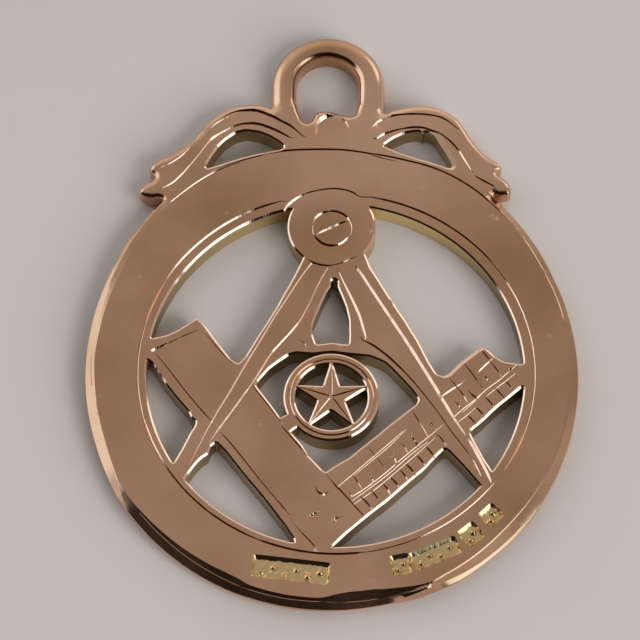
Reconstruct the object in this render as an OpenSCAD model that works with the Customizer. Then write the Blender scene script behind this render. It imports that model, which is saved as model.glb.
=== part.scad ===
// Round pierced watch fob: a rim ring holding a set square crossed by a pair
// of compasses, a star in a ring between them, a bow of ribbon on the rim and
// a hanging eye on top. One sawn and engraved plate, lying on its back.
// Millimetres. +Z is the engraved face, +Y runs up to the hanging eye.

/* [Plate] */
// Outside diameter of the rim ring
ring_d = 27; // [24:0.5:32]
// Thickness of the plate
plate_t = 1.3; // [1.2:0.1:1.8]
// Diameter of the opening that the rim ring leaves
rim_d = 20.6; // [20.2:0.1:20.8]
// Width of the filed shoulder on the rim ring, next to the face
shoulder_w = 0.35; // [0.2:0.05:0.5]
// Drop of that shoulder below the face
shoulder_drop = 0.26; // [0.15:0.01:0.35]
// Width of the steeper facet outside the shoulder
edge_w = 0.3; // [0.2:0.05:0.4]
// Drop of that facet
edge_drop = 0.44; // [0.3:0.02:0.46]
// Bevel on the outer edges of the back
back_bevel = 0.35; // [0.1:0.05:0.35]

/* [Hinge] */
// Diameter of the compasses' round hinge head
head_d = 4.9; // [4.6:0.1:5.2]
// Diameter of the engraved screw head
screw_d = 2.2; // [1.6:0.1:2.6]

/* [Star ring] */
// Outside diameter of the ring around the star
star_ring_d = 5.2; // [5.1:0.1:5.4]
// Width of that ring
star_ring_w = 0.62; // [0.5:0.02:0.8]
// Distance from the star's centre to its inner corners
star_waist = 0.8; // [0.6:0.05:1]
// Width of the bridge from the ring to the square's plain arm
bridge_w = 0.9; // [0.6:0.1:1.2]

/* [Hanging eye] */
// Outside width of the eye
eye_d = 6.4; // [6:0.1:6.6]
// Width of the eye's hole
eye_hole_d = 3.5; // [3.2:0.1:3.8]
// Width of the rounding on the eye's outer edge
eye_round_w = 0.8; // [0.4:0.05:1]
// Drop of that rounding below the face
eye_round_drop = 0.6; // [0.3:0.05:0.7]
// Rounding of the lip of the eye's hole
eye_lip = 0.35; // [0.2:0.05:0.4]

/* [Engraving] */
// Depth of the engraved lines
cut_depth = 0.1; // [0.05:0.01:0.2]
// Width of the long engraved lines
line_w = 0.16; // [0.1:0.01:0.2]
// Width of the lines that edge the rim and the ribbon
edge_line_w = 0.14; // [0.1:0.01:0.2]
// Diameter of the prick dots
dot_d = 0.22; // [0.15:0.01:0.3]
// Depth of the sunk panels on the rim
panel_depth = 0.14; // [0.1:0.01:0.25]
// Diameter of the pellets left standing in the panels
pellet_d = 0.42; // [0.3:0.02:0.5]

/* [Hidden] */
$fn = 96;
// All the plan tables below are measured on a ring 27 mm across
k = ring_d / 27;
ring_r = 13.5;
eye_at = [-0.31, 17.92];
hole_at = [-0.36, 17.98];
head_at = [-0.05, 8.8];
star_at = [0, -1.6];
star_ray_w = 0.1;
screw_at = [-0.05, 8.68];
bridge_turn = 214;
bridge_l = 1.6;
rim_at = [0.2, -0.1];
// The line round the rim stops on both sides of the hinge head
rim_line_at = [0.23, 0];
rim_line_r = 10.83;
rim_line_from = 104;
rim_line_to = 442;
// How deep the eye's legs and its hole run down into the bow
eye_leg = 2.5;
hole_leg = 1.5;
// Saw cuts and sinkings start or end this far outside the plate
clear = 1;
top_y = eye_at[1] + eye_d / 2;
mid_y = (top_y - ring_r) / 2;

// Openings sawn through the plate. Each row is one turn of the sawn edge: [x, y]
// Between the left leg, the rim and the square's plain arm
open_upper_left = [
    [-2.6, 11.5], [-1.9, 9.4], [-1.7, 8.4], [-1.5, 7.7], [-1.58, 6.95],
    [-2.0, 5.95], [-3.0, 3.9], [-4.0, 2.1], [-4.75, 0.75], [-5.1, 0.35],
    [-5.5, 0.62], [-6.3, 1.7], [-7.0, 2.72], [-7.4, 3.12], [-7.85, 2.8],
    [-8.4, 2.4], [-9.0, 2.08], [-9.6, 1.9], [-10.4, 1.8], [-12, 4], [-8, 11]
];
// Between the right leg, the rim and the ruled arm
open_upper_right = [
    [2.2, 12], [1.8, 9.3], [1.6, 8.4], [1.5, 7.8], [1.86, 7.02],
    [2.1, 6.3], [2.95, 4.85], [4.0, 3.1], [4.7, 1.85], [5.3, 0.55],
    [5.72, -0.2], [6.1, -0.33], [6.4, -0.15], [7.0, 0.5], [7.6, 1.02],
    [8.1, 1.42], [8.4, 1.42], [8.9, 0.92], [9.4, 0.58], [10.45, 0.42],
    [12, 4], [8, 11]
];
// Between the plain arm and the rim
open_left = [
    [-11, 0.6], [-10.05, 0.6], [-9.8, 0.38], [-9.0, -0.92], [-8.5, -1.6],
    [-8.0, -2.2], [-7.72, -2.55], [-7.6, -2.9], [-7.32, -3.12], [-7.4, -3.42],
    [-7.7, -3.95], [-8.05, -4.75], [-8.5, -5.6], [-11, -5]
];
// Between the ruled arm and the rim
open_right = [
    [11, -0.95], [10.4, -0.93], [10.05, -1.2], [9.2, -1.98], [8.33, -2.85],
    [7.5, -3.62], [7.8, -4.3], [8.25, -5.2], [8.9, -6.3], [11, -5]
];
// Under the left leg, below the plain arm
open_lower_left = [
    [-6.2, -4.32], [-6.5, -4.6], [-6.62, -5.05], [-7.0, -5.32], [-7.4, -5.8],
    [-7.75, -6.35], [-9, -8], [-5, -11], [-2.0, -11], [-1.93, -10.0],
    [-2.5, -9.1], [-3.17, -8.17], [-4.0, -7.1], [-5.0, -5.82], [-5.6, -5.0]
];
// Under the ruled arm, below the right leg
open_lower_right = [
    [-0.02, -10.52], [1.0, -9.5], [2.0, -8.6], [3.0, -7.75], [4.0, -6.8],
    [5.1, -5.78], [5.8, -4.95], [6.15, -4.62], [6.4, -4.8], [7.17, -5.7],
    [8.25, -7.05], [9, -8], [5, -12], [0, -12]
];
// Between the legs, under the hinge head
open_drop = [
    [0.12, 5.6], [-0.08, 5.42], [-0.06, 5.12], [-0.3, 4.75], [-0.6, 4.0],
    [-0.98, 3.05], [-1.08, 2.6], [-1.04, 2.1], [-0.85, 1.55], [-0.4, 1.6],
    [0.0, 1.67], [0.45, 1.6], [0.93, 1.56], [0.98, 2.2], [0.95, 3.0],
    [0.78, 3.85], [0.55, 4.5], [0.3, 5.1], [0.33, 5.42]
];
// Lozenge that the legs and arms leave in the middle
open_middle = [
    [0.1, 1.08], [-0.9, 0.95], [-1.95, 1.02], [-2.4, 0.85], [-3.0, 0.4],
    [-3.4, 0.05], [-3.8, -0.45], [-4.12, -0.9], [-3.5, -1.8], [-3.0, -2.5],
    [-2.5, -3.3], [-1.55, -4.5], [-1.2, -5.1], [-0.5, -5.9], [-0.28, -6.08],
    [0.0, -5.85], [1.0, -5.18], [2.0, -4.3], [3.0, -3.4], [4.0, -2.52],
    [4.6, -2.02], [4.75, -1.72], [4.4, -1.2], [3.9, -0.6], [3.3, 0.1],
    [2.9, 0.48], [2.13, 0.85]
];

// Outline of the bow's two ribbons, from the eye out to the forked tail: [x, y]
ribbon_left = [
    [-1.5, 13], [-1.5, 15.8], [-3.3, 16.4], [-4.3, 16.62], [-5.4, 16.52],
    [-6.3, 16.12], [-7.05, 15.5], [-7.6, 14.75], [-8.25, 14.05], [-9.1, 13.4],
    [-9.8, 13.06], [-10.2, 12.72], [-10.26, 12.32], [-10.05, 12.1], [-9.98, 11.93],
    [-10.12, 11.74], [-10.5, 11.5], [-10.78, 11.2], [-10.82, 10.9], [-10.55, 10.68],
    [-10.0, 10.6], [-9.5, 10.55], [-8.9, 9.3], [-6, 11]
];
ribbon_right = [
    [1.5, 13], [1.5, 15.8], [3.0, 16.2], [4.2, 16.55], [5.3, 16.62],
    [6.2, 16.36], [6.95, 15.85], [7.4, 15.2], [7.85, 14.4], [8.5, 13.56],
    [9.15, 13.08], [9.42, 12.78], [9.42, 12.56], [9.2, 12.44], [9.24, 12.26],
    [9.55, 12.02], [9.86, 11.66], [9.96, 11.26], [9.84, 10.98], [9.4, 10.9],
    [8.95, 10.9], [8.9, 9.3], [6, 11]
];
// The metal between the ribbons, which carries the eye
bow_middle = [[-3.0, 12.5], [-3.0, 16.2], [2.85, 16.05], [2.85, 12.5]];
// Slots sawn between the ribbons and the rim ring: [x, y]
slot_left = [
    [-2.72, 13.85], [-3.1, 14.22], [-3.6, 14.52], [-4.2, 14.78], [-4.9, 14.88],
    [-5.5, 14.7], [-6.0, 14.3], [-6.4, 13.86], [-6.8, 13.25], [-7.05, 12.75],
    [-7.1, 12.42], [-6.6, 12.58], [-5.5, 12.98], [-4.5, 13.3], [-3.6, 13.52],
    [-2.9, 13.66]
];
slot_right = [
    [2.8, 13.95], [3.1, 14.22], [3.5, 14.5], [4.1, 14.78], [4.7, 14.9],
    [5.45, 14.82], [5.72, 14.6], [6.0, 14.08], [6.35, 13.5], [6.62, 12.95],
    [6.7, 12.6], [6.45, 12.55], [5.6, 12.88], [4.8, 13.12], [3.6, 13.56]
];
// Foot of the eye's hole, with the knob standing up into it: [x, y]
hole_foot = [
    [-2.11, 17.98], [-2.07, 17.0], [-1.97, 16.3], [-1.75, 15.7], [-1.45, 15.48],
    [-1.2, 15.72], [-1.1, 16.05], [-0.8, 16.27], [-0.2, 16.3], [0.3, 16.1],
    [0.8, 15.95], [1.2, 16.0], [1.33, 16.5], [1.39, 17.98]
];

// Long engraved lines along the legs, arms and ribbons: rows of [x, y]
long_lines = [
    [[-1.12, 6.5], [-2.0, 5.12], [-3.2, 3.02], [-4.75, 0.1], [-6.1, -2.5],
        [-7.25, -4.9], [-7.65, -5.75]],
    [[-0.2, 6.25], [-0.85, 4.9], [-1.6, 3.2], [-2.0, 2.55], [-3.3, 0.9],
        [-4.3, -0.85], [-5.7, -3.05], [-6.6, -4.42]],
    [[1.18, 6.42], [1.6, 5.85], [3.0, 3.5], [5.0, 0.1], [6.3, -2.25],
        [7.2, -3.75], [8.0, -5.25], [8.62, -6.62]],
    [[0.36, 5.98], [0.95, 4.6], [1.5, 3.25], [1.85, 1.98]],
    [[1.72, 1.8], [2.3, 1.46], [3.5, 0.38], [5.2, -1.68], [6.5, -3.65],
        [7.6, -5.35], [8.1, -6.3]],
    [[-9.72, 1.13], [-8.8, 1.62], [-7.38, 2.35]],
    [[-7.05, 2.3], [-6.0, 0.98], [-5.45, 0.4]],
    [[-9.58, 0.85], [-9.0, 0.1], [-8.0, -1.28], [-6.48, -3.12]],
    [[-5.98, -3.78], [-5.0, -5.0], [-3.8, -6.6], [-2.25, -8.52]],
    [[-1.95, -9.1], [-1.5, -9.65], [-0.88, -10.38]],
    [[-4.25, -1.05], [-3.3, -2.35], [-2.6, -3.5], [-1.18, -5.15]],
    [[-0.28, -6.18], [0.55, -7.2], [1.76, -8.6]],
    [[0.35, -6.95], [1.2, -6.18], [3.0, -4.5], [3.9, -3.62]],
    [[1.05, -7.55], [2.1, -6.82], [4.0, -5.1], [6.0, -3.3]],
    [[1.22, -7.95], [2.7, -6.8], [4.3, -5.3], [5.62, -4.0]],
    [[6.68, -2.76], [7.8, -1.75], [9.2, -0.5], [10.15, 0.42]],
    [[6.92, -3.02], [7.35, -2.68], [7.82, -2.2]],
    [[8.42, -1.52], [9.0, -1.02], [10.02, -0.12]]
];
bow_lines = [
    [[-9.6, 9.75], [-8.0, 11.2], [-6.0, 12.5], [-4.2, 13.22], [-2.0, 13.63],
        [0, 13.67], [2.0, 13.44], [4.0, 13.03], [6.0, 12.38], [8.0, 11.1],
        [9.6, 9.5], [10.3, 8.7]],
    [[-9.55, 12.5], [-8.3, 13.4], [-7.2, 14.9], [-6.0, 15.85], [-5.0, 16.15],
        [-4.0, 16.02], [-3.0, 15.5], [-1.75, 14.55]],
    [[-9.7, 11.05], [-8.5, 11.95], [-7.5, 13.3], [-6.75, 14.34], [-5.2, 15.25],
        [-4.0, 15.2], [-2.45, 14.42]],
    [[2.5, 15.42], [3.3, 15.86], [5.2, 15.96], [6.5, 15.5], [7.05, 15.02]],
    [[2.48, 14.38], [3.3, 14.85], [4.5, 15.12], [5.5, 14.95], [6.65, 14.15],
        [7.72, 12.42]],
    [[7.95, 12.05], [8.4, 11.75], [9.05, 11.38]],
    [[-0.95, 14.6], [-0.97, 15.0], [-0.3, 15.82], [0.05, 15.9], [0.65, 15.5],
        [0.86, 15.12]]
];
// The slot drawn across the screw
screw_slot = [[-0.72, 8.4], [0.0, 8.76], [0.8, 9.14]];
// Divisions of the ruled arm: [x, y of one end, x, y of the other, width]
divisions = [
    [1.68, -7.58, 2.2, -8.2, 0.12], [2.22, -7.2, 2.65, -7.8, 0.11],
    [2.85, -6.8, 3.18, -7.34, 0.13], [3.2, -6.36, 3.68, -6.95, 0.13],
    [3.77, -5.98, 4.12, -6.48, 0.11], [4.06, -5.6, 4.53, -6.18, 0.13],
    [4.63, -5.08, 5.08, -5.66, 0.12], [5.12, -4.54, 5.6, -5.2, 0.13],
    [5.82, -3.9, 6.22, -4.48, 0.1], [7.4, -2.68, 7.85, -3.2, 0.1],
    [7.86, -2.18, 8.32, -2.78, 0.1], [8.4, -1.62, 8.84, -2.18, 0.1],
    [8.94, -1.08, 9.42, -1.68, 0.1], [9.48, -0.62, 9.85, -1.1, 0.1],
    [1.18, -6.25, 1.66, -7.04, 0.1], [2.45, -5.2, 2.9, -5.85, 0.1],
    [3.88, -4.42, 4.12, -4.9, 0.1], [4.45, -2.55, 5.24, -3.95, 0.1],
    [6.5, -0.55, 7.38, -1.88, 0.1], [7.26, 0.4, 8.28, -1.14, 0.1],
    [8.2, 1.22, 9.36, -0.5, 0.1], [6.04, -1.52, 7.12, -0.74, 0.1],
    [7.98, -0.12, 8.76, 0.7, 0.1]
];
// Prick dots on the square: [x, y]
dots = [
    [2.1, -6.28], [3.38, -5.2], [4.62, -4.42], [5.4, -3.18], [7.0, -2.28],
    [7.82, -1.6], [8.36, -0.38], [9.74, 0.1], [-0.52, -7.42], [-1.02, -8.66],
    [0.18, -8.9]
];
// Sunk panels on the rim: [x, y of the centre, length, height, turn, pellets]
panels = [
    [-2.1, -11.72, 4.15, 1.3, -6.5, 6],
    [3.75, -11.38, 1.05, 1.2, 12, 2],
    [5.58, -10.72, 2.75, 1.1, 24, 4],
    [7.5, -9.62, 1.15, 1.15, 40, 2],
    [8.58, -8.5, 1.1, 1.05, 45, 2]
];

function unit(v) = v / max(norm(v), 1e-6);
// Cuts each corner back by up to r, which rounds a sawn corner
function eased(p, r) = [
    for (i = [0 : len(p) - 1])
        let (
            a = p[(i + len(p) - 1) % len(p)],
            b = p[i],
            c = p[(i + 1) % len(p)]
        )
        for (q = [a, c])
            b + unit(q - b) * min(r, norm(q - b) / 3)
];
// Smooth closed curve through the rows of a table, n steps between two rows
function looped(p, n) = [
    for (i = [0 : len(p) - 1])
        let (
            m = len(p),
            a = p[(i + m - 1) % m],
            b = p[i],
            c = p[(i + 1) % m],
            d = p[(i + 2) % m]
        )
        for (j = [0 : n - 1]) between(a, b, c, d, j / n)
];
// Smooth open curve through the rows of a table
function threaded(p, n) = concat([
    for (i = [0 : len(p) - 2])
        let (
            a = p[max(i - 1, 0)],
            b = p[i],
            c = p[i + 1],
            d = p[min(i + 2, len(p) - 1)]
        )
        for (j = [0 : n - 1]) between(a, b, c, d, j / n)
], [p[len(p) - 1]]);
function between(a, b, c, d, t) =
    b + (c - a) * (t / 2) + (a * 2 - b * 5 + c * 4 - d) * (t * t / 2)
    + (b * 3 - a - c * 3 + d) * (t * t * t / 2);
function side(p, i) =
    let (v = unit(p[min(i + 1, len(p) - 1)] - p[max(i - 1, 0)])) [-v[1], v[0]];
function taper(p, i) = i == 0 || i == len(p) - 1 ? 0.35 : 1;

// A line of width w along a table's rows, narrowed at both ends
module stroke(p, w) {
    last = len(p) - 1;
    polygon(k * concat(
        [for (i = [0 : last]) p[i] + side(p, i) * taper(p, i) * w / 2],
        [for (i = [last : -1 : 0]) p[i] - side(p, i) * taper(p, i) * w / 2]
    ));
}

module sawn(p) {
    polygon(k * eased(eased(p, 0.16), 0.06));
}

// Rim ring, its outer edge filed to two facets over a bevel on the back
module rim_disc() {
    r = ring_r * k;
    rotate_extrude()
        polygon([
            [0, 0],
            [r - back_bevel, 0],
            [r, back_bevel],
            [r, plate_t - shoulder_drop - edge_drop],
            [r - edge_w, plate_t - shoulder_drop],
            [r - edge_w - shoulder_w, plate_t],
            [0, plate_t]
        ]);
}

// Bow of ribbon on top of the rim
module bow() {
    linear_extrude(plate_t)
        difference() {
            union() {
                polygon(k * looped(ribbon_left, 3));
                polygon(k * looped(ribbon_right, 3));
                polygon(k * bow_middle);
            }
            sawn(slot_left);
            sawn(slot_right);
        }
}

// Half section of the eye's band, out to its rounded outer edge
function eye_section() =
    let (outer = k * eye_d / 2, w = eye_round_w, drop = eye_round_drop, steps = 5)
    concat(
        [[0, 0], [outer - back_bevel, 0], [outer, back_bevel]],
        [for (i = [0 : steps])
            let (a = i * 90 / steps)
            [outer - w + w * cos(a), plate_t - drop + drop * sin(a)]],
        [[0, plate_t]]
    );
// Half section of the eye's hole, which opens out in a rounded lip at the face
function hole_section() =
    let (inner = k * eye_hole_d / 2, r = eye_lip, steps = 4)
    concat(
        [[0, -clear], [inner, -clear]],
        [for (i = [0 : steps])
            let (a = i * 90 / steps)
            [inner + r - r * cos(a), plate_t - r + r * sin(a)]],
        [[inner + r, plate_t + clear], [0, plate_t + clear]]
    );

// A half section turned through a half circle, with straight sides below it
module arched(section, drop) {
    rotate_extrude(angle = 180)
        polygon(section);
    for (turn = [0, 180])
        rotate(turn)
            rotate([90, 0, 0])
                translate([0, 0, turn == 0 ? 0 : -drop])
                    linear_extrude(drop)
                        polygon(section);
}

// Hanging eye
module hanging_eye() {
    translate(concat(k * eye_at, 0))
        arched(eye_section(), k * eye_leg);
}

// Hole of the hanging eye, down to the knob at its foot
module eye_hole() {
    translate(concat(k * hole_at, 0))
        arched(hole_section(), k * hole_leg);
    translate([0, 0, -clear])
        linear_extrude(plate_t + 2 * clear)
            sawn(hole_foot);
}

// Openings sawn through inside the rim
module openings() {
    linear_extrude(plate_t + 2 * clear)
        intersection() {
            translate(k * rim_at)
                circle(r = k * rim_d / 2);
            union() {
                difference() {
                    union() {
                        sawn(open_upper_left);
                        sawn(open_upper_right);
                        sawn(open_drop);
                    }
                    translate(k * head_at)
                        circle(r = k * head_d / 2);
                }
                sawn(open_left);
                sawn(open_right);
                sawn(open_lower_left);
                sawn(open_lower_right);
                difference() {
                    sawn(open_middle);
                    star_in_ring();
                }
            }
        }
}

// Five-pointed star inside a ring, with its bridge to the plain arm
module star_in_ring() {
    inner = star_ring_d / 2 - star_ring_w;
    translate(k * star_at) {
        difference() {
            circle(r = k * star_ring_d / 2);
            circle(r = k * inner);
        }
        polygon(k * [
            for (i = [0 : 9])
                let (r = i % 2 == 0 ? inner + 0.1 : star_waist)
                [r * sin(i * 36), r * cos(i * 36)]
        ]);
        rotate(bridge_turn)
            translate(k * [inner + 0.1, -bridge_w / 2])
                square(k * [bridge_l, bridge_w]);
    }
}

// Engraved lines and dots, as seen on the face
module engraved_lines() {
    for (p = long_lines)
        stroke(threaded(p, 3), line_w);
    for (p = bow_lines)
        stroke(threaded(p, 3), edge_line_w);
    for (d = divisions)
        stroke([[d[0], d[1]], [d[2], d[3]]], d[4]);
    for (d = dots)
        translate(k * d)
            circle(r = k * dot_d / 2, $fn = 24);
    circle_line(rim_line_at, rim_line_r, rim_line_from, rim_line_to);
    circle_line(head_at, head_d / 2 - edge_line_w / 2, 0, 360);
    circle_line(screw_at, screw_d / 2, 0, 360);
    stroke(screw_slot, line_w);
    circle_line(star_at, star_ring_d / 2 - star_ring_w / 2, 0, 360);
    for (i = [0 : 4])
        translate(k * star_at)
            rotate(i * 72)
                stroke([[0, 0.25], [0, star_ring_d / 2 - star_ring_w - 0.15]], star_ray_w);
}

// A line along an arc about p, from one angle to another
module circle_line(p, r, from, to) {
    w = edge_line_w / 2;
    translate(k * p)
        intersection() {
            difference() {
                circle(r = k * (r + w));
                circle(r = k * (r - w));
            }
            if (to - from < 360)
                polygon(concat([[0, 0]], [
                    for (i = [0 : 12])
                        let (a = from + (to - from) * i / 12)
                        2 * r * [cos(a), sin(a)]
                ]));
        }
}

// Sunk panels, each with its row of pellets left standing
module panel_sinkings() {
    for (p = panels)
        translate(k * [p[0], p[1]])
            rotate(p[4])
                difference() {
                    square(k * [p[2], p[3]], center = true);
                    for (i = [0 : p[5] - 1])
                        translate(k * [(i - (p[5] - 1) / 2) * p[2] / (p[5] + 0.2), 0])
                            circle(r = k * pellet_d / 2, $fn = 24);
                }
}

module fob_plate() {
    color("rosybrown")
        translate([0, -k * mid_y, 0])
            difference() {
                union() {
                    rim_disc();
                    bow();
                    hanging_eye();
                }
                translate([0, 0, -clear])
                    openings();
                eye_hole();
                translate([0, 0, plate_t - cut_depth])
                    linear_extrude(cut_depth + clear)
                        engraved_lines();
                translate([0, 0, plate_t - panel_depth])
                    linear_extrude(panel_depth + clear)
                        panel_sinkings();
            }
}

fob_plate();
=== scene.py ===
import math

import bpy
from mathutils import Matrix, Vector, kdtree, noise
from mathutils.geometry import delaunay_2d_cdt


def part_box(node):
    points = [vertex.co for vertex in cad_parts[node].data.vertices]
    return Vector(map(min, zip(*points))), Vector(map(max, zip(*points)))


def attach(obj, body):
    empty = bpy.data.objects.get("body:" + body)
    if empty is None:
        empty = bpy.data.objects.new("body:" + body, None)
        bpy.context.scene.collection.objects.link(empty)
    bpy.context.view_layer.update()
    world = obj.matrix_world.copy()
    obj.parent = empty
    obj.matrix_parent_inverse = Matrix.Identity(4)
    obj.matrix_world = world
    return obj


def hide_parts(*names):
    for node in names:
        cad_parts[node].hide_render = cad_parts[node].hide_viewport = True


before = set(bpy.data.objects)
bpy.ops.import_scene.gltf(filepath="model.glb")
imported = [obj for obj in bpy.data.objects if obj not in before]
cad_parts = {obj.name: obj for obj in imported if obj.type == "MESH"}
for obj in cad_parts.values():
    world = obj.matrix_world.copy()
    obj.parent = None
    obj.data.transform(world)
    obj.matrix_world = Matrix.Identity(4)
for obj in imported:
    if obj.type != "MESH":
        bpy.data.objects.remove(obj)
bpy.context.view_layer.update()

# Rim ring
# The fob is one plate of nine carat rose gold, sawn and engraved by hand.
# The plate was cut nearly round, and its outer edge filed in long facets.
# Sizes are in millimetres, but this table and the widths of lines in hundredths.
MM = 0.001
PER_MM = 100
RING_R = 13.5
RIM_FILING = [
    # turn in degrees, radius, bevel at the back, and the width and drop of each
    # facet, from the outermost to the one that meets the face
    (0, 1346, 30, 3, 5, 1, 1, 30, 25, 18, 4),
    (12, 1346, 30, 3, 5, 1, 1, 30, 24, 15, 4),
    (14, 1347, 30, 3, 5, 1, 1, 27, 22, 7.5, 4),
    (26, 1356, 30, 3, 5, 1, 1, 30, 24, 7.5, 4),
    (27, 1358, 30, 3, 5, 1, 1, 32, 24, 2, 1),
    (28, 1360, 30, 3, 5, 1, 1, 32, 24, 7.5, 4),
    (36, 1377, 30, 3, 5, 1, 1, 34, 26, 7.5, 4),
    (38, 1380, 30, 3, 5, 1, 1, 35, 27, 3, 1),
    (45, 1396, 30, 3, 5, 1, 1, 38, 29, 3, 1),
    (50, 1410, 30, 3, 5, 1, 1, 38, 29, 3, 1),
    (60, 1350, 30, 10, 10, 1, 1, 20, 10, 3, 2),
    (120, 1350, 30, 10, 10, 1, 1, 20, 10, 3, 2),
    (130, 1420, 30, 13, 10, 5, 2, 10, 1, 30, 3),
    (140, 1390, 30, 13, 10, 5, 2, 10, 1, 30, 3),
    (145, 1380, 30, 14, 10, 5, 2, 10, 1, 28, 3),
    (150, 1368, 30, 15, 12, 4, 2, 10, 2, 25, 4),
    (155, 1359, 30, 20, 15, 3, 1, 10, 2, 22, 5),
    (160, 1354, 30, 27, 20, 1, 1, 5, 2, 20, 6),
    (170, 1346, 35, 28, 21, 2, 1, 5, 3, 17, 7),
    (177, 1344, 40, 27, 21, 3.1, 0, 12, 8, 5, 2),
    (184, 1343, 40, 32, 24, 3.1, 0, 12, 9, 5, 2),
    (192, 1343, 45, 48, 37, 1, 0, 2, 1, 2, 1),
    (199, 1346, 50, 48, 42, 1, 0, 1, 1, 2, 1),
    (205, 1352, 50, 43, 43, 1, 0, 1, 1, 2, 1),
    (209.5, 1360, 55, 36, 43, 1, 1, 1, 1, 2, 1),
    (213, 1366, 55, 24, 28, 15, 13, 1, 1, 4, 3),
    (217.5, 1366, 60, 1, 1, 34, 32, 2, 1, 7, 6),
    (220, 1366, 55, 1, 2, 35, 34, 3.1, 0, 9, 8),
    (225, 1368, 55, 1, 2, 36, 39, 3.1, 0, 13, 13),
    (235, 1371, 50, 1, 2, 34, 41, 3.1, 0, 20, 24),
    (245, 1376, 45, 1, 2, 32, 36, 3.1, 0, 27, 31),
    (248.5, 1378, 45, 1, 2, 30, 35, 3.1, 0, 25, 30),
    (251, 1382, 55, 1, 2, 28.5, 34, 3.1, 0, 17, 17),
    (260, 1383, 55, 1, 2, 28.5, 34, 3.1, 0, 15, 15),
    (268, 1381, 55, 1, 2, 30, 36, 3.1, 0, 14.5, 14.5),
    (272, 1373, 45, 1, 2, 28, 35, 3.1, 0, 33, 37),
    (275, 1369, 38, 1, 2, 26, 33, 3.1, 0, 39, 46),
    (280, 1368, 40, 1, 2, 24, 30, 3.1, 0, 39, 46),
    (283.5, 1372, 50, 1, 2, 22, 28, 4, 1, 31, 34),
    (284, 1372, 50, 3.5, 10, 20, 22, 4, 1, 31, 34),
    (290, 1381, 48, 10, 42, 10, 11, 13, 3, 10, 10),
    (293, 1382, 50, 13, 48, 4, 4, 13, 3, 6, 6),
    (294, 1382, 50, 14, 27, 1, 1, 15, 30, 6, 4.5),
    (295, 1382, 50, 16, 25, 1, 1, 15, 32, 6, 4.5),
    (297, 1382, 50, 20, 19, 1, 1, 18, 38, 6, 4.5),
    (300, 1383, 48, 21, 19, 1, 1, 21, 46, 6, 4.5),
    (305, 1376, 45, 14, 13, 1, 1, 28, 54, 6, 4.5),
    (310, 1372, 45, 13, 12, 1, 1, 33, 56, 6, 4.5),
    (315, 1371, 45, 13, 12, 1, 1, 39, 54, 5.5, 4),
    (320, 1369, 48, 13, 12, 1, 1, 41, 47, 5.5, 4),
    (325, 1364, 50, 8, 7, 1, 1, 41, 43, 5, 3),
    (330, 1358, 50, 4, 4, 1, 1, 41, 40, 7, 3),
    (340, 1353, 45, 3, 4, 1, 1, 39, 34, 10, 3),
    (350, 1348, 35, 3, 5, 1, 1, 33, 28, 15, 4),
    (360, 1346, 30, 3, 5, 1, 1, 30, 25, 18, 4),
]
# The strips that each facet is divided in, and the rows that are crisp unless narrow
FACET_PIECES = (2, 1, 2, 1)
FACET_EDGES = (2, 3, 5, 6)
NARROW = 0.03
# An edge that lies farther than this from the filed circle is the ribbons'
OFF_THE_RIM = 0.03
# The plan is drawn from the ring's centre, and the frame's origin is higher up
low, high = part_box("fob_plate")
FACE_Z = high.z / MM
MID_Y = -low.y / MM - RING_R


def arc(centre, radius, start=0, end=360, spacing=0.2):
    """Points round a circle, or round part of it, in degrees."""
    count = max(3, round(math.radians(end - start) * radius / spacing))
    turns = [math.radians(start + (end - start) * i / count) for i in range(count + 1)]
    if end - start == 360:
        turns.pop()
    return [Vector((centre[0] + radius * math.cos(a), centre[1] + radius * math.sin(a)))
            for a in turns]


def away_from(point, x, y):
    """How far in plan the point lies from a place."""
    return math.hypot(point.x - x, point.y - y)


def turn_of(point):
    """The point's turn round the ring, in degrees."""
    return math.degrees(math.atan2(point.y, point.x)) % 360


def filed_rim(turn):
    """The radius at this turn, the bevel at the back, and the facets as rows of
    (inset from the edge, drop below the face)."""
    for (before, *sizes), (after, *sizes_after) in zip(RIM_FILING, RIM_FILING[1:]):
        if turn <= after:
            break
    t = (turn - before) / (after - before)
    both = [(a / PER_MM, b / PER_MM) for a, b in zip(sizes, sizes_after)]
    radius, bevel, *facets = [a + (b - a) * t for a, b in both]
    inset, drop = 0, sum(facets[1::2])
    rows = [(inset, drop)]
    for wide, deep, pieces in zip(facets[::2], facets[1::2], FACET_PIECES):
        for _ in range(pieces):
            inset += wide / pieces
            drop -= deep / pieces
            rows.append((inset, max(drop, 0)))
    return radius, bevel, rows


# Closed outlines of the metal, and lines cut into its face with their slope
metal = {"rim": [p * (filed_rim(turn_of(p))[0] / RING_R) for p in arc((0, 0), RING_R)]}
strokes = []

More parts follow.
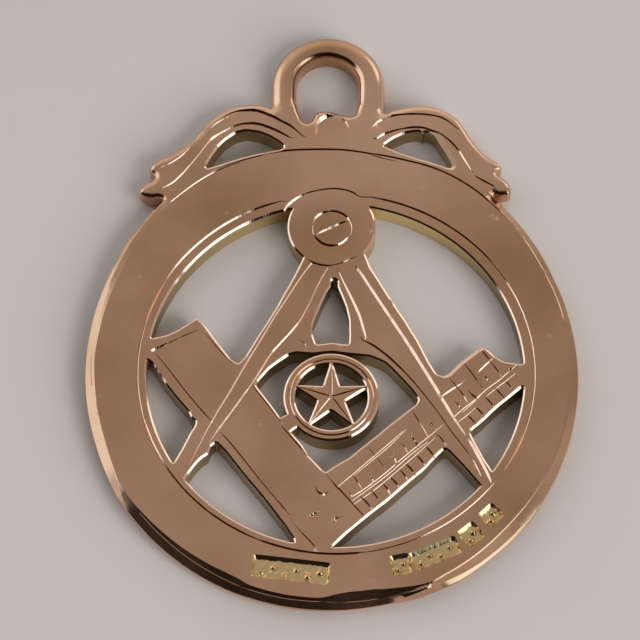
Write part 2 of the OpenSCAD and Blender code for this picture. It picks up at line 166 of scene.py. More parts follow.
# Ribbon bow
# Two ribbons with forked tails spread over the top of the rim, all one metal
# with it. They were sawn out, and their edges rounded over with a file.
RIBBON_EDGE = (0.45, 0.32)
FILE_STEPS = 6
CUT_SLOPE = 0.75
BOW_CUT = 1.4
BOW = {
    "ribbon_left": [(-1.5, 13), (-1.5, 15.8), (-3.3, 16.4), (-4.3, 16.62), (-5.4, 16.52),
        (-6.3, 16.12), (-7.05, 15.5), (-7.6, 14.75), (-8.25, 14.05), (-9.1, 13.4), (-9.8, 13.06),
        (-10.2, 12.72), (-10.26, 12.32), (-10.05, 12.1), (-9.98, 11.93), (-10.12, 11.74),
        (-10.5, 11.5), (-10.78, 11.2), (-10.82, 10.9), (-10.55, 10.68), (-10, 10.6), (-9.5, 10.55),
        (-8.9, 9.3), (-6, 11)],
    "ribbon_right": [(1.5, 13), (1.5, 15.8), (3, 16.2), (4.2, 16.55), (5.3, 16.62), (6.2, 16.36),
        (6.95, 15.85), (7.4, 15.2), (7.85, 14.4), (8.5, 13.56), (9.15, 13.08), (9.42, 12.78),
        (9.42, 12.56), (9.2, 12.44), (9.24, 12.26), (9.55, 12.02), (9.86, 11.66), (9.96, 11.26),
        (9.84, 10.98), (9.4, 10.9), (8.95, 10.9), (8.9, 9.3), (6, 11)],
    "bow_middle": [(-3, 12.5), (-3, 15.9), (0, 15.7), (2.85, 15.8), (2.85, 12.5)],
}
BOW_LINES = [
    # x, y and width along each line
    [(-9.55, 12.5, 3), (-9, 12.8, 6), (-8.3, 13.4, 6), (-7.6, 14.4, 7), (-7.2, 14.9, 8),
     (-6.6, 15.45, 6), (-6, 15.85, 6), (-5.5, 16.08, 8), (-5, 16.15, 13), (-4.5, 16.17, 15),
     (-4, 16.02, 15), (-3.5, 15.8, 16), (-3, 15.5, 15), (-2.4, 15.15, 12), (-1.75, 14.55, 5)],
    [(-7.15, 14.78, 2), (-6.5, 15.36, 5), (-5.9, 15.74, 2)],
    [(-9.7, 11.05, 4), (-9, 11.45, 8), (-8.5, 11.95, 9), (-8, 12.6, 8), (-7.5, 13.3, 7),
     (-7.05, 13.98, 10), (-6.75, 14.34, 14), (-6.3, 14.68, 10), (-5.7, 15.05, 8),
     (-5.2, 15.25, 10), (-4.8, 15.3, 12), (-4.4, 15.3, 16), (-4, 15.2, 15), (-3.5, 15, 15),
     (-3, 14.75, 15), (-2.45, 14.42, 6)],
    [(2.5, 15.42, 10), (2.9, 15.7, 14), (3.3, 15.86, 12), (3.9, 15.95, 10), (4.5, 15.98, 11),
     (5.2, 15.96, 10), (6, 15.8, 9), (6.5, 15.5, 8), (7.05, 15.02, 4)],
    [(2.48, 14.38, 10), (2.85, 14.65, 14), (3.3, 14.85, 10), (3.9, 15.03, 8), (4.5, 15.12, 12),
     (5.05, 15.1, 12), (5.5, 14.95, 10), (6, 14.75, 8), (6.3, 14.5, 9), (6.65, 14.15, 12),
     (7, 13.68, 12), (7.35, 13.05, 12), (7.72, 12.42, 5)],
    [(7.95, 12.05, 5), (8.4, 11.75, 11), (9.05, 11.38, 8)],
    [(-0.95, 14.6, 4), (-0.97, 15, 18), (-0.72, 15.5, 30), (-0.3, 15.82, 26), (0.05, 15.9, 12)],
    [(0.05, 15.9, 5), (0.4, 15.76, 6), (0.65, 15.5, 10), (0.86, 15.12, 3)],
]


def between(a, b, c, d, t):
    """A point of the smooth curve from b to c."""
    start, rise = b * 2, (c - a) * t
    bend = (a * 2 - b * 5 + c * 4 - d) * t * t
    turn = (b * 3 - a - c * 3 + d) * t * t * t
    return (start + rise + bend + turn) / 2


def looped(rows, spacing=0.12):
    """A smooth closed curve through the rows of a table."""
    rows = [Vector(row) for row in rows]
    count = len(rows)
    curve = []
    for i, here in enumerate(rows):
        after = rows[(i + 1) % count]
        steps = max(1, round((after - here).length / spacing))
        beyond = rows[(i + 2) % count]
        curve += [between(rows[i - 1], here, after, beyond, j / steps) for j in range(steps)]
    return curve


def rounded(wide, deep):
    """A filed round as rows of (inset from the edge, drop below the face)."""
    turns = [math.pi / 2 * i / FILE_STEPS for i in range(FILE_STEPS + 1)]
    return [(wide * (1 - math.cos(a)), deep * (1 - math.sin(a))) for a in turns]


def engrave(lines, share=1, slope=CUT_SLOPE):
    """Adds lines of (x, y, width) to the strokes, at a share of their widths."""
    for line in lines:
        strokes.append(([Vector((x, y, width / PER_MM * share)) for x, y, width in line], slope))


for name, rows in BOW.items():
    metal[name] = looped(rows)
engrave(BOW_LINES, BOW_CUT)

# Hanging eye
# A stout arch stands on the bow to take the chain's ring. It was filed round,
# and its hole was drilled and filed longer, down to the knob at its foot.
EYE_AT = (-0.31, 17.92)
EYE_R = 3.2
EYE_LEG = 2.5
EYE_EDGE = (0.8, 0.6)
EYE_TOP_LIP = (0.4, 0.45)
EYE_SIDE_LIP = (0.5, 0.6)
SIDE_LIP_GAIN = 1.15
SIDE_LIP_POWER = 1.5
# The legs run into the bow at one height, and the wider side lip fades at the other
EYE_FOOT_Y = 15.9
SIDE_LIP_Y = 16.2
HOLE_AT = (-0.36, 17.98)
HOLE_R = 1.75
HOLE_LEG = 1.2
HOLE_FOOT = [
    (-2.11, 17.98), (-2.07, 17), (-1.97, 16.3), (-1.75, 15.7), (-1.45, 15.48), (-1.2, 15.72),
    (-1.1, 16.05), (-0.8, 16.27), (-0.2, 16.3), (0.3, 16.1), (0.8, 15.95), (1.2, 16), (1.33, 16.5),
    (1.39, 17.98),
]


def arch(centre, radius, leg, spacing=0.12):
    """The outline of a half disc on straight legs."""
    crown = arc(centre, radius, 0, 180, spacing)
    steps = round(leg / spacing)
    left = [Vector((centre[0] - radius, centre[1] - leg * i / steps))
            for i in range(1, steps + 1)]
    right = [Vector((2 * centre[0] - p.x, p.y)) for p in reversed(left)]
    return crown + left + right


def filleted(rows, radius=0.2, spacing=0.14, most=0.45, parts=4):
    """The table's straight edges, with points along them and rounded corners that
    take up at most a share of each."""
    rows = [Vector(row) for row in rows]
    count = len(rows)
    outline = []
    for i, corner in enumerate(rows):
        before, after = rows[i - 1], rows[(i + 1) % count]
        cut_in = min(radius, (corner - before).length * most)
        cut_out = min(radius, (corner - after).length * most)
        start = corner + (before - corner).normalized() * cut_in
        end = corner + (after - corner).normalized() * cut_out
        for j in range(parts + 1):
            a, b = start.lerp(corner, j / parts), corner.lerp(end, j / parts)
            outline.append(a.lerp(b, j / parts))
        run_end = after + (corner - after).normalized() * cut_out
        pieces = int((run_end - end).length / spacing)
        outline += [end.lerp(run_end, j / (pieces + 1)) for j in range(1, pieces + 1)]
    return outline


metal["eye"] = arch(EYE_AT, EYE_R, EYE_LEG)
holes = {"hole": arch(HOLE_AT, HOLE_R, HOLE_LEG), "hole_foot": filleted(HOLE_FOOT)}

# Openings
# The ground between the compasses, the square and the rim was pierced out with
# a fine saw, each opening on its own, and the burr taken off its edges.
RIM_AT = (0.2, -0.1)
RIM_R = 10.3
HEAD_AT = (-0.05, 8.8)
HEAD_R = 2.45
# The lip where the burr was taken off is ragged, and flatter on the far edges
LIP = 0.085
LIT_LIP = 0.13
LIP_SLOPE = 0.85
FAR_LIP = 0.095
FAR_SLOPE = 0.45
FAR_FADE = 0.4
SLANT = 0.7
RAGGED_LEAST = 0.75
RAGGED_MORE = 0.6
FACES_LEFT = -0.3
# Two edges were filed wider: x from and to, y from and to, the lip's width and drop
FILED_LIPS = [
    (5.0, 7.2, 12.4, 15.0, 0.26, 0.07),
    (5.7, 8.5, -0.45, 1.5, 0.2, 0.07),
]
SAW_TURN = 0.13
SAW_WANDER = 0.02
QUICK_SHARE = 0.35
OPENINGS = {
    "upper_left": [(-2.6, 11.5), (-1.9, 9.4), (-1.7, 8.4), (-1.5, 7.7), (-1.58, 6.95), (-2, 5.95),
        (-3, 3.9), (-4, 2.1), (-4.75, 0.75), (-5.1, 0.35), (-5.5, 0.62), (-6.3, 1.7), (-7, 2.72),
        (-7.4, 3.12), (-7.85, 2.8), (-8.4, 2.4), (-9, 2.08), (-9.6, 1.9), (-10.4, 1.8), (-12, 4),
        (-8, 11)],
    "upper_right": [(2.2, 12), (1.8, 9.3), (1.6, 8.4), (1.5, 7.8), (1.86, 7.02), (2.1, 6.3),
        (2.95, 4.85), (4, 3.1), (4.7, 1.85), (5.3, 0.55), (5.72, -0.2), (6.1, -0.33), (6.4, -0.15),
        (7, 0.5), (7.6, 1.02), (8.1, 1.42), (8.4, 1.42), (8.9, 0.92), (9.4, 0.58), (10.45, 0.42),
        (12, 4), (8, 11)],
    "left": [(-11, 0.6), (-10.05, 0.6), (-9.8, 0.38), (-9, -0.92), (-8.5, -1.6), (-8, -2.2),
        (-7.72, -2.55), (-7.6, -2.9), (-7.32, -3.12), (-7.4, -3.42), (-7.7, -3.95), (-8.05, -4.75),
        (-8.5, -5.6), (-11, -5)],
    "right": [(11, -0.95), (10.4, -0.93), (10.05, -1.2), (9.2, -1.98), (8.33, -2.85), (7.5, -3.62),
        (7.8, -4.3), (8.25, -5.2), (8.9, -6.3), (11, -5)],
    "lower_left": [(-6.2, -4.32), (-6.5, -4.6), (-6.62, -5.05), (-7, -5.32), (-7.4, -5.8),
        (-7.75, -6.35), (-9, -8), (-5, -11), (-2, -11), (-1.93, -10), (-2.5, -9.1), (-3.17, -8.17),
        (-4, -7.1), (-5, -5.82), (-5.6, -5)],
    "lower_right": [(-0.02, -10.52), (1, -9.5), (2, -8.6), (3, -7.75), (4, -6.8), (5.1, -5.78),
        (5.8, -4.95), (6.15, -4.62), (6.4, -4.8), (7.17, -5.7), (8.25, -7.05), (9, -8), (5, -12),
        (0, -12)],
    "drop": [(0.12, 5.6), (-0.08, 5.42), (-0.06, 5.12), (-0.3, 4.75), (-0.6, 4), (-0.98, 3.05),
        (-1.08, 2.6), (-1.04, 2.1), (-0.85, 1.55), (-0.4, 1.6), (0, 1.67), (0.45, 1.6),
        (0.93, 1.56), (0.98, 2.2), (0.95, 3), (0.78, 3.85), (0.55, 4.5), (0.3, 5.1), (0.33, 5.42)],
    "slot_left": [(-2.72, 13.85), (-3.1, 14.22), (-3.6, 14.52), (-4.2, 14.78), (-4.9, 14.88),
        (-5.5, 14.7), (-6, 14.3), (-6.4, 13.86), (-6.8, 13.25), (-7.05, 12.75), (-7.1, 12.42),
        (-6.6, 12.58), (-5.5, 12.98), (-4.5, 13.3), (-3.6, 13.52), (-2.9, 13.66)],
    "slot_right": [(2.8, 13.95), (3.1, 14.22), (3.5, 14.5), (4.1, 14.78), (4.7, 14.9),
        (5.02, 14.86), (5.06, 14.66), (5.12, 14.86), (5.45, 14.82), (5.72, 14.6), (6, 14.08),
        (6.35, 13.5), (6.62, 12.95), (6.7, 12.6), (6.45, 12.55), (5.6, 12.88), (4.8, 13.12),
        (3.6, 13.56)],
}


def hand_sawn(outline):
    """The outline with the small wander that a hand saw leaves."""
    moved = []
    for i, here in enumerate(outline):
        side = (outline[(i + 1) % len(outline)] - outline[i - 1]).orthogonal().normalized()
        slow = noise.noise(Vector((here.x, here.y, 3.1)) * 1.1)
        quick = noise.noise(Vector((here.x, here.y, 7.7)) * 4.5)
        moved.append(here + side * (slow + quick * QUICK_SHARE) * SAW_WANDER)
    return moved


for name, rows in OPENINGS.items():
    holes[name] = hand_sawn(filleted(rows, SAW_TURN))

# Star ring
# A five-pointed star inside a pierced ring fills the middle of the fob.
# It hangs from the arch between the legs, and a bridge ties it to the plain arm.
STAR_AT = Vector((0, -1.6))
STAR_RING_R = 2.6
STAR_RING_W = 0.62
STAR_WAIST = 0.8
STAR_CORNER = 0.05
# The star's points and the bridge run a little way into the ring
POINT_OVERLAP = 0.3
BRIDGE_OVERLAP = 0.2
BRIDGE_TURN = math.radians(214)
BRIDGE_HALF_W = 0.45
BRIDGE_END = 3.6
BRIDGE_FLARE = 1.2
MIDDLE = [
    (0.1, 1.08), (-0.9, 0.95), (-1.95, 1.02), (-2.4, 0.85), (-3, 0.4), (-3.4, 0.05), (-3.8, -0.45),
    (-4.12, -0.9), (-3.5, -1.8), (-3, -2.5), (-2.5, -3.3), (-1.55, -4.5), (-1.2, -5.1),
    (-0.5, -5.9), (-0.28, -6.08), (0, -5.85), (1, -5.18), (2, -4.3), (3, -3.4), (4, -2.52),
    (4.6, -2.02), (4.75, -1.72), (4.4, -1.2), (3.9, -0.6), (3.3, 0.1), (2.9, 0.48), (2.13, 0.85),
]
reach = STAR_RING_R - STAR_RING_W
RAY = ((0.12, 10), (0.6, 13), (1.2, 10), (reach - 0.05, 4))
ahead = Vector((math.cos(BRIDGE_TURN), math.sin(BRIDGE_TURN)))
across = ahead.orthogonal() * BRIDGE_HALF_W
foot, end = ahead * (reach + BRIDGE_OVERLAP), ahead * BRIDGE_END
star = []
for i in range(10):
    r = STAR_WAIST if i % 2 else reach + POINT_OVERLAP
    turn = i * math.pi / 5
    star.append(STAR_AT + Vector((r * math.sin(turn), r * math.cos(turn))))
holes["middle"] = hand_sawn(filleted(MIDDLE, SAW_TURN))
kept = {
    "star_ring": arc(STAR_AT, STAR_RING_R, spacing=0.12),
    "inside_ring": arc(STAR_AT, reach, spacing=0.12),
    "star": filleted(star[::-1], STAR_CORNER),
    "bridge": [STAR_AT + foot + across, STAR_AT + end + across * BRIDGE_FLARE,
               STAR_AT + end - across * BRIDGE_FLARE, STAR_AT + foot - across],
    "inner_rim": arc(RIM_AT, RIM_R, spacing=0.16),
    "head": arc(HEAD_AT, HEAD_R, spacing=0.12),
}


def sweep(centre, radius, start, end, width, ends=1, swell=0, spacing=0.2):
    """A line along part of a circle, narrowed toward both ends."""
    path = arc(centre, radius, start, end, spacing)
    steps = len(path) - 1
    return [(p.x, p.y, width * min(1, ends + swell * min(i, steps - i) / steps))
            for i, p in enumerate(path)]


engrave([sweep(STAR_AT, STAR_RING_R - STAR_RING_W / 2, 0, 359.9, 13)])
for i in range(5):
    turn = i * 2 * math.pi / 5
    out = Vector((math.sin(turn), math.cos(turn)))
    engrave([[(*(STAR_AT + out * r), width) for r, width in RAY]])

# Compasses and square
# Their limbs are the metal left between the openings. Bright lines cut with a
# square graver run along every limb, and swell and taper as the hand pressed.
SHALLOW_CUT = 0.55
# The two along the right leg are broad and shallow
BROAD_LINES = [
    [(1.18, 6.42, 14), (1.35, 6.2, 20), (1.6, 5.85, 17), (2.1, 5, 20), (3, 3.5, 22), (4, 1.85, 22),
     (5, 0.1, 23), (5.7, -1.15, 23), (6.3, -2.25, 21), (6.7, -2.95, 14), (7.2, -3.75, 13),
     (7.5, -4.25, 18), (8, -5.25, 22), (8.4, -6.1, 20), (8.62, -6.62, 5)],
    [(0.36, 5.98, 5), (0.62, 5.35, 10), (0.95, 4.6, 15), (1.25, 3.9, 19), (1.5, 3.25, 21),
     (1.7, 2.5, 17), (1.85, 1.98, 10), (1.78, 1.82, 4)],
]
LIMB_LINES = [
    # left leg
    [(-1.12, 6.5, 12), (-1.5, 5.95, 13), (-2, 5.12, 14), (-2.6, 4.08, 14), (-3.2, 3.02, 15),
     (-4, 1.5, 15), (-4.75, 0.1, 16), (-5.45, -1.3, 17), (-6.1, -2.5, 16), (-6.7, -3.7, 14),
     (-7.25, -4.9, 10), (-7.65, -5.75, 2)],
    [(-0.2, 6.25, 5), (-0.5, 5.7, 13), (-0.85, 4.9, 15), (-1.2, 4.05, 14), (-1.6, 3.2, 14),
     (-2, 2.55, 16), (-2.75, 1.62, 16), (-3.3, 0.9, 17), (-3.9, -0.2, 20), (-4.3, -0.85, 13),
     (-5, -1.98, 17), (-5.7, -3.05, 16), (-6.2, -3.8, 13), (-6.6, -4.42, 3)],
    # right leg
    [(1.72, 1.8, 8), (2.3, 1.46, 18), (3, 0.88, 20), (3.5, 0.38, 18), (4, -0.15, 14),
     (4.6, -0.88, 12), (5.2, -1.68, 11), (5.8, -2.55, 10), (6.5, -3.65, 10), (7.1, -4.5, 9),
     (7.6, -5.35, 10), (8.1, -6.3, 4)],
    [(7.2, -4.45, 2), (7.65, -5.3, 10), (8.02, -6.1, 5)],
    # end of the left arm
    [(-9.72, 1.13, 24), (-9.4, 1.3, 20), (-8.8, 1.62, 14), (-8.1, 2, 10), (-7.38, 2.35, 3)],
    [(-9.6, 1.28, 5), (-9.1, 1.5, 9), (-8.6, 1.72, 3)],
    [(-7.05, 2.3, 3), (-6.6, 1.72, 7), (-6, 0.98, 8), (-5.45, 0.4, 5)],
    [(-9.58, 0.85, 4), (-9, 0.1, 11), (-8.5, -0.6, 12), (-8, -1.28, 12), (-7.4, -2.05, 11),
     (-6.9, -2.65, 12), (-6.48, -3.12, 4)],
    # left arm and corner
    [(-5.98, -3.78, 5), (-5.5, -4.35, 12), (-5, -5, 13), (-4.4, -5.8, 12), (-3.8, -6.6, 10),
     (-3, -7.6, 9), (-2.6, -8.1, 12), (-2.25, -8.52, 4)],
    [(-1.95, -9.1, 3), (-1.5, -9.65, 10), (-1.1, -10.1, 12), (-0.88, -10.38, 14)],
    [(-4.25, -1.05, 7), (-3.85, -1.6, 15), (-3.3, -2.35, 13), (-2.7, -3.15, 6)],
    [(-2.6, -3.5, 8), (-2.2, -4, 15), (-1.7, -4.6, 16), (-1.35, -5, 8), (-1.18, -5.15, 4)],
    [(-0.28, -6.18, 3), (-0.02, -6.5, 6), (0.2, -6.82, 14), (0.55, -7.2, 14), (1, -7.72, 12),
     (1.4, -8.2, 12), (1.76, -8.6, 10)],
]
# The long curve that follows the rim: turns from and to, and width
RIM_LINE_AT = (0.23, 0)
RIM_LINE_R = 10.83
RIM_SWEEPS = [(106.5, 150, 17), (150, 198, 12), (194, 249, 17), (247, 279, 18),
              (277, 322, 9), (327, 398, 12), (396, 440, 16)]
TOP_LINES = [
    # under the bow
    [(-9.6, 9.75, 4), (-8, 11.2, 9), (-6.9, 12.02, 10), (-6, 12.5, 9), (-5, 12.95, 7),
     (-4.2, 13.22, 12), (-3.4, 13.45, 15), (-2, 13.63, 15), (0, 13.67, 15), (1, 13.6, 14),
     (2, 13.44, 13), (3, 13.27, 14), (4, 13.03, 14), (5, 12.76, 14), (6, 12.38, 14),
     (7, 11.83, 14), (8, 11.1, 15), (9, 10.15, 14), (9.6, 9.5, 12), (10.3, 8.7, 4)],
    [(-6.9, 12.16, 2), (-5.9, 12.66, 6), (-4.6, 13.16, 2)],
    [(1.9, 13.42, 3), (2.6, 13.18, 8), (3.6, 12.94, 2)],
    # top of the hinge head, which runs on into the line along the rim
    [(-2.78, 9.72, 5), (-2.45, 10.12, 20), (-2.05, 10.5, 20), (-1.5, 10.85, 12), (-0.9, 11.05, 10),
     (-0.3, 11.16, 12), (0.2, 11.18, 13), (0.7, 11.1, 13), (1.1, 10.95, 13), (1.55, 10.68, 8),
     (2.2, 10.66, 8), (2.9, 10.5, 4)],
    # foot of the hinge head, and beside the drop
    [(-1.42, 6.78, 3), (-1.05, 6.55, 15), (-0.65, 6.4, 19), (-0.2, 6.37, 12), (0.1, 6.42, 8),
     (0.55, 6.55, 10), (0.95, 6.76, 10), (1.38, 6.98, 3)],
    [(-1.4, 1.35, 3), (-1.5, 1.62, 8), (-1.72, 1.8, 2)],
]
engrave(BROAD_LINES, slope=SHALLOW_CUT)
engrave(LIMB_LINES)
engrave(sweep(RIM_LINE_AT, RIM_LINE_R, *cut, ends=0.35, swell=6) for cut in RIM_SWEEPS)
engrave(TOP_LINES)

# Ruler
# The right arm is engraved as a measuring rule: short strokes along its lower
# edge, finer lines above them, and a row of pricked dots along the middle.
FINE_CUT = 0.72
FIRM_CUT = 1.35
# Where along a division it is cut, and the share of its width there
DIVISION_SWELL = ((0, 0.55), (0.25, 1), (0.6, 1), (1, 0.3))
RULER_LINES = [
    [(0.35, -6.95, 5), (0.8, -6.55, 8), (1.2, -6.18, 8), (2, -5.42, 7), (3, -4.5, 8),
     (3.9, -3.62, 3)],
    [(1.2, -6.3, 3), (2.1, -5.48, 6), (3.1, -4.58, 6), (4.08, -3.5, 3)],
    [(1.05, -7.55, 6), (1.6, -7.2, 9), (2.1, -6.82, 9), (3, -6.05, 9), (4, -5.1, 9), (5, -4.2, 8),
     (6, -3.3, 4)],
    [(1.15, -7.74, 4), (2.1, -7, 7), (3.2, -6.08, 8), (4.2, -5.12, 8), (5.25, -4.22, 3)],
    [(1.22, -7.95, 4), (1.9, -7.45, 7), (2.7, -6.8, 8), (3.4, -6.14, 7), (4.3, -5.3, 7),
     (5, -4.62, 6), (5.62, -4, 3)],
    [(6.68, -2.76, 10), (7.2, -2.25, 9), (7.8, -1.75, 10), (8.4, -1.15, 8), (9.2, -0.5, 9),
     (9.7, 0, 8), (10.15, 0.42, 3)],
    [(7.1, -2.5, 3), (7.6, -2.02, 7), (8.1, -1.52, 3)],
    [(8.42, -1.52, 4), (9, -1.02, 8), (9.5, -0.6, 7), (10.02, -0.12, 4)],
    [(6.92, -3.02, 5), (7.35, -2.68, 8), (7.82, -2.2, 3)],
]
engrave(RULER_LINES, FINE_CUT)
DIVISIONS = [
    # x and y of one end, x and y of the other, width
    (1.68, -7.58, 2.2, -8.2, 12), (2.22, -7.2, 2.65, -7.8, 11), (2.85, -6.8, 3.18, -7.34, 13),
    (3.2, -6.36, 3.68, -6.95, 13), (3.77, -5.98, 4.12, -6.48, 11), (4.06, -5.6, 4.53, -6.18, 13),
    (4.63, -5.08, 5.08, -5.66, 12), (5.12, -4.54, 5.6, -5.2, 13), (5.82, -3.9, 6.22, -4.48, 10),
    (7.4, -2.68, 7.85, -3.2, 10), (7.86, -2.18, 8.32, -2.78, 10), (8.4, -1.62, 8.84, -2.18, 10),
    (8.94, -1.08, 9.42, -1.68, 10), (9.48, -0.62, 9.85, -1.1, 9), (1.18, -6.25, 1.66, -7.04, 8),
    (2.02, -4.62, 2.42, -5.15, 5), (2.45, -5.2, 2.9, -5.85, 5), (3.88, -4.42, 4.12, -4.9, 7),
    (4.45, -2.55, 5.24, -3.95, 9), (6.5, -0.55, 6.95, -1.15, 7), (6.95, -1.15, 7.38, -1.88, 10),
    (7.26, 0.4, 8.28, -1.14, 9), (8.2, 1.22, 8.75, 0.45, 10), (8.75, 0.45, 9.36, -0.5, 9),
    (6.04, -1.52, 7.12, -0.74, 10), (7.98, -0.12, 8.76, 0.7, 11), (2.12, -6.32, 2.3, -6.64, 10),
    (3.35, -5.15, 3.52, -5.52, 12), (4.32, -3.92, 4.62, -4.42, 10), (5.38, -3.12, 5.62, -3.46, 10),
    (6.82, -1.95, 6.98, -2.3, 11), (7.58, -1.38, 7.84, -1.66, 12), (8.36, -0.34, 8.52, -0.62, 12),
    (-0.68, -7.24, -0.42, -7.46, 14), (-0.42, -7.46, -0.2, -7.28, 12),
    (-0.95, -8.52, -0.72, -8.46, 10), (0.2, -8.8, 0.46, -8.7, 10), (1.02, -7.3, 1.12, -7.5, 8),
]
DOTS = [
    # x, y and radius of a pricked dot
    (2.1, -6.28, 0.09), (3.38, -5.2, 0.08), (4.62, -4.42, 0.1), (5.4, -3.18, 0.09),
    (5.62, -3.44, 0.07), (7, -2.28, 0.09), (7.82, -1.6, 0.11), (8.36, -0.38, 0.08),
    (8.54, -0.66, 0.09), (9.74, 0.1, 0.11), (10.06, -0.2, 0.09), (-0.52, -7.42, 0.1),
    (-1.02, -8.66, 0.13), (0.18, -8.9, 0.12), (-0.62, -7.62, 0.06),
]
for x1, y1, x2, y2, width in DIVISIONS:
    start, end = Vector((x1, y1)), Vector((x2, y2))
    engrave([[(*start.lerp(end, f), width * swell) for f, swell in DIVISION_SWELL]], FIRM_CUT)

# Hinge screw
# A ring and one slanting cut drawn on the hinge head, to look like a screw.
# The ring was cut in six sweeps of the graver, each deepest in its middle.
SCREW_AT = (-0.05, 8.68)
SCREW_R = 1.08
SCREW_SWEEPS = [(28, 98, 19), (98, 160, 18), (160, 202, 8), (202, 286, 21),
                (286, 330, 17), (330, 388, 11)]
SCREW_CUT = [(-0.72, 8.4, 8), (-0.4, 8.56, 16), (0, 8.76, 18), (0.4, 8.96, 20),
             (0.62, 9.06, 17), (0.8, 9.14, 3)]
engrave(sweep(SCREW_AT, SCREW_R, *cut, ends=0.45, swell=3, spacing=0.1) for cut in SCREW_SWEEPS)
engrave([SCREW_CUT])

# Sunk panels
# Five small panels punched into the rim below the square. Each has a rough
# floor with plain pellets left standing in it.
PANEL_DEPTH = 0.2
PANEL_WALL = 0.12
PANEL_TOP_WALL = 0.24
PANEL_CORNER = 0.2
FLOOR_SHARE = 0.85
FLOOR_ROUGH = 0.2
PANELS = [
    # x and y of the middle, length, height, turn in degrees, pellets
    (-2.1, -11.72, 4.15, 1.3, -6.5, 6),
    (3.75, -11.38, 1.05, 1.2, 12, 2),
    (5.58, -10.72, 2.75, 1.1, 24, 4),
    (7.5, -9.62, 1.15, 1.15, 40, 2),
    (8.58, -8.5, 1.1, 1.05, 45, 2),
]
PELLET_R = 0.16
PELLET_SPREAD = 0.5
PELLET_RISE = 1.02
PELLET_MARGIN = 0.4
PELLET_ROWS = (-0.2, 0.04)
# Each panel's way in from the plan and out again, its length and its height
panels = []
pellets = []
for x, y, long, tall, turn, count in PANELS:
    inward = Matrix.Translation((x, y, 0)) @ Matrix.Rotation(math.radians(turn), 4, "Z")
    inward.invert()
    outward = inward.inverted()
    panels.append((inward, outward, long, tall))
    for i in range(count):
        px = (i - (count - 1) / 2) * (long - PELLET_MARGIN) / count
        centre = outward @ Vector((px, tall * PELLET_ROWS[i % 2], 0))
        spread = 1 + PELLET_SPREAD * noise.noise(centre * 3)
        pellets.append((centre.x, centre.y, PELLET_R * spread))


def sunk(point):
    """How far below the face a panel's floor, wall or pellet lies at a point."""
    deepest = 0
    for inward, _, long, tall in panels:
        here = inward @ point.to_3d()
        over_x = abs(here.x) - long / 2 + PANEL_CORNER
        over_y = abs(here.y) - tall / 2 + PANEL_CORNER
        corner = math.hypot(max(over_x, 0), max(over_y, 0))
        edge = PANEL_CORNER - corner - min(max(over_x, over_y), 0)
        if edge > 0:
            rough = FLOOR_SHARE + noise.noise(point.to_3d() * 5) * FLOOR_ROUGH
            top_share = (tall / 2 - here.y) / PANEL_TOP_WALL
            deepest = PANEL_DEPTH * min(rough, edge / PANEL_WALL, top_share)
    if deepest > 0:
        for x, y, r in pellets:
            away = away_from(point, x, y)
            if away < r:
                rise = math.sqrt(1 - (away / r) ** 2)
                deepest = min(deepest, PANEL_DEPTH * (1 - rise * PELLET_RISE))
    return deepest


# Plate
# All that was drawn so far is worked into one sheet of metal: pierced first,
# then its edges filed, then the lines cut into its polished face.
BACK_BEVEL = 0.3
BACK_BURR = 0.03
# Searches reach out by a margin, and points closer than NEAR become one
MARGIN = 0.05
NEAR = 1e-4
# The polished face isn't quite flat
WAVE = 0.006
# The graver was held over, so each cut is one broad bright side and one steep one
BROAD_SIDE = Vector((-0.2, -1))
BED = 0.6
CUT_SPACING = 0.16
CUT_WAVER = 0.18
DOT_SLOPE = 0.9
DINGS = [
    # x, y, radius and depth of a small dent
    (-5.91, 9.73, 0.1, 0.02), (-10.65, 5.73, 0.09, 0.02), (-7.04, 8.39, 0.06, 0.015),
    (2.15, 8.65, 0.1, 0.03), (8.88, 9.66, 0.12, 0.03), (9.1, 9.5, 0.06, 0.02),
    (-3.85, -3.0, 0.07, 0.02), (-3.82, -3.2, 0.06, 0.015), (-12.6, -1.6, 0.1, 0.02),
    (11.9, 2.3, 0.08, 0.02), (4.9, 11.4, 0.07, 0.012), (-11.3, -7.0, 0.08, 0.02),
    (10.9, -6.9, 0.09, 0.02), (2.3, -12.2, 0.08, 0.015), (-2.85, -1.1, 0.05, 0.02),
]


def anticlockwise(loop):
    """The loop turned so that its outside lies on the right."""
    area = sum(a.x * b.y - b.x * a.y for a, b in zip(loop, loop[1:] + loop[:1]))
    return loop if area > 0 else loop[::-1]


def triangulate(loops, chains, points):
    """Triangles over closed loops, open chains and loose points.

    Each comes with the numbers of the loops that it lies in. Last come the pairs
    of corners along the loops and chains."""
    corners, edges, faces = [], [], []
    for loop in loops:
        start = len(corners)
        corners += loop
        faces.append(list(range(start, len(corners))))
    for chain in chains:
        start = len(corners)
        corners += chain
        edges += [(i, i + 1) for i in range(start, len(corners) - 1)]
    corners += points
    made = delaunay_2d_cdt(corners, edges, faces, 0, NEAR, True)
    drawn = [pair for pair, origin in zip(made[1], made[4]) if origin]
    return made[0], made[2], made[5], drawn


def rim_of(triangles):
    """For each corner on the region's edge, the next one round it."""
    sides = {(t[i], t[(i + 1) % 3]) for t in triangles for i in range(3)}
    return {a: b for a, b in sides if (b, a) not in sides}


names = list(metal) + list(holes) + list(kept)
outlines = [anticlockwise({**metal, **holes, **kept}[name]) for name in names]
spots, triangles, inside, _ = triangulate(outlines, [], [])


def is_metal(labels):
    """Whether a place that lies in these outlines is metal."""
    at = {names[i] for i in labels}
    if not at & set(metal) or at & {"hole", "hole_foot", "drop", "slot_left", "slot_right"}:
        return False
    if at & {"upper_left", "upper_right"} and "inner_rim" in at and "head" not in at:
        return False
    if at & {"left", "right", "lower_left", "lower_right"} and "inner_rim" in at:
        return False
    if "middle" in at and not at & {"star_ring", "bridge"}:
        return False
    return not ("inside_ring" in at and "star" not in at)


